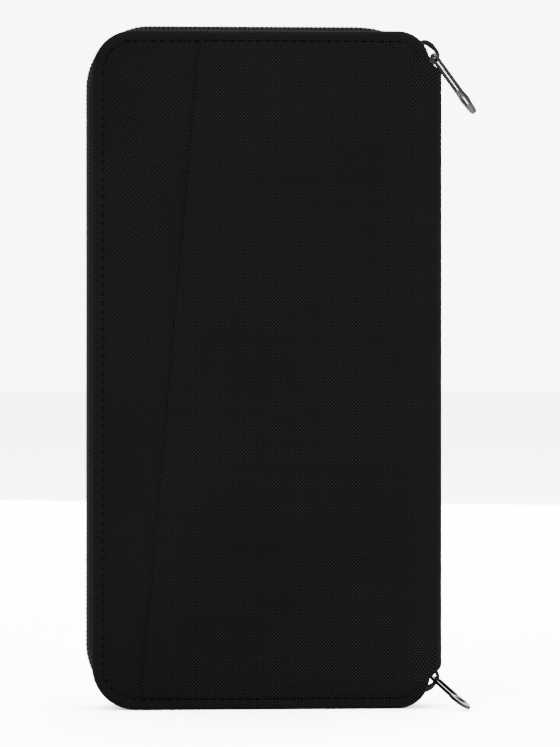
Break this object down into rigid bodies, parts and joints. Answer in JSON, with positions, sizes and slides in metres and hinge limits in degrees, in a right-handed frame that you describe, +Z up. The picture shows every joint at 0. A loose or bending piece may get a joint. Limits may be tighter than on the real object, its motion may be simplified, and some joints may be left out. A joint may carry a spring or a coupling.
{
  "type": "passport holder wallet",
  "caption": "Zip-round travel wallet: padded covers hinged on a cloth spine, slanted slip pocket outside, passport sleeves, card slots and coin pocket inside.",
  "frame": {"origin": "The middle of the rear cover's bottom edge, on the flat turned edge that the wallet stands on.", "axes": "+Z runs up the long side, +X from the fore-edge to the spine, and -Y out of the front cover."},
  "size_m": [0.1435, 0.0336, 0.2494],
  "materials": {
    "canvas": "black woven canvas, slightly lustrous thread",
    "lining": "fine black lining twill",
    "zip_tape": "black herringbone tape",
    "foam": "soft grey padding",
    "board": "stiffener sheet",
    "coil": "black nylon coil",
    "gunmetal": "dark polished gunmetal plating",
    "cord": "round braided cord"
  },
  "bodies": {
    "rear_cover": {"rear_outer_panel": "canvas", "rear_foam": "foam", "rear_board": "board", "rear_lining": "lining", "document_pocket": "lining", "passport_sleeve_lower": "lining", "passport_sleeve_upper": "lining", "rear_zip_tape": "zip_tape", "rear_zip_coil": "coil"},
    "spine": {"spine_outer": "canvas", "spine_board": "board", "spine_lining": "lining", "rear_row_end_upper": "coil", "rear_row_end_lower": "coil", "front_row_end_upper": "coil", "front_row_end_lower": "coil", "zip_stop_upper": "gunmetal", "zip_stop_lower": "gunmetal"},
    "front_cover": {"front_base_panel": "canvas", "front_slash_panel": "canvas", "front_foam": "foam", "front_board": "board", "front_lining": "lining", "card_slot_1": "lining", "card_slot_2": "lining", "card_slot_3": "lining", "card_slot_4": "lining", "coin_pocket_panel": "lining", "coin_pocket_header": "lining", "coin_zip_tape_upper": "zip_tape", "coin_zip_tape_lower": "zip_tape", "coin_zip_coil_upper": "coil", "coin_zip_coil_lower": "coil", "front_zip_tape": "zip_tape", "front_zip_coil": "coil"},
    "upper_slider": {"upper_slider_body": "gunmetal", "upper_slider_bridge": "gunmetal"},
    "upper_pull": {"upper_pull": "gunmetal"},
    "lower_slider": {"lower_slider_body": "gunmetal", "lower_slider_bridge": "gunmetal"},
    "lower_pull": {"lower_pull": "gunmetal"},
    "coin_slider": {"coin_slider_body": "gunmetal", "coin_slider_bridge": "gunmetal", "coin_pull_cord": "cord"}
  },
  "joints": [
    {"name": "spine_fold", "type": "hinge", "parent": "rear_cover", "child": "spine", "pos_m": [0.066, 0.0031, 0.1237], "axis": [0, 0, 1], "range_deg": [0, 90]},
    {"name": "cover_fold", "type": "hinge", "parent": "spine", "child": "front_cover", "pos_m": [0.066, -0.0209, 0.1237], "axis": [0, 0, 1], "range_deg": [0, 90]},
    {"name": "upper_slider_travel", "type": "hinge", "parent": "spine", "child": "upper_slider", "pos_m": [0.035, -0.0089, 0.2134], "axis": [0, -1, 0], "range_deg": [0, 45]},
    {"name": "upper_pull_swing", "type": "hinge", "parent": "upper_slider", "child": "upper_pull", "pos_m": [0.06367, -0.0089, 0.23939], "axis": [0.2094, -0.9659, 0.1521], "range_deg": [0, 165]},
    {"name": "lower_slider_travel", "type": "hinge", "parent": "spine", "child": "lower_slider", "pos_m": [0.035, -0.0089, 0.0365], "axis": [0, 1, 0], "range_deg": [0, 45]},
    {"name": "lower_pull_swing", "type": "hinge", "parent": "lower_slider", "child": "lower_pull", "pos_m": [0.06523, -0.0089, 0.00938], "axis": [0.4365, -0.1522, 0.8867], "range_deg": [0, 110]},
    {"name": "coin_slider_travel", "type": "slide", "parent": "front_cover", "child": "coin_slider", "axis": [-1, 0, 0], "range_m": [0, 0.088]}
  ],
  "couplings": [
    {"joint": "cover_fold", "follows": "spine_fold", "ratio": 1}
  ]
}
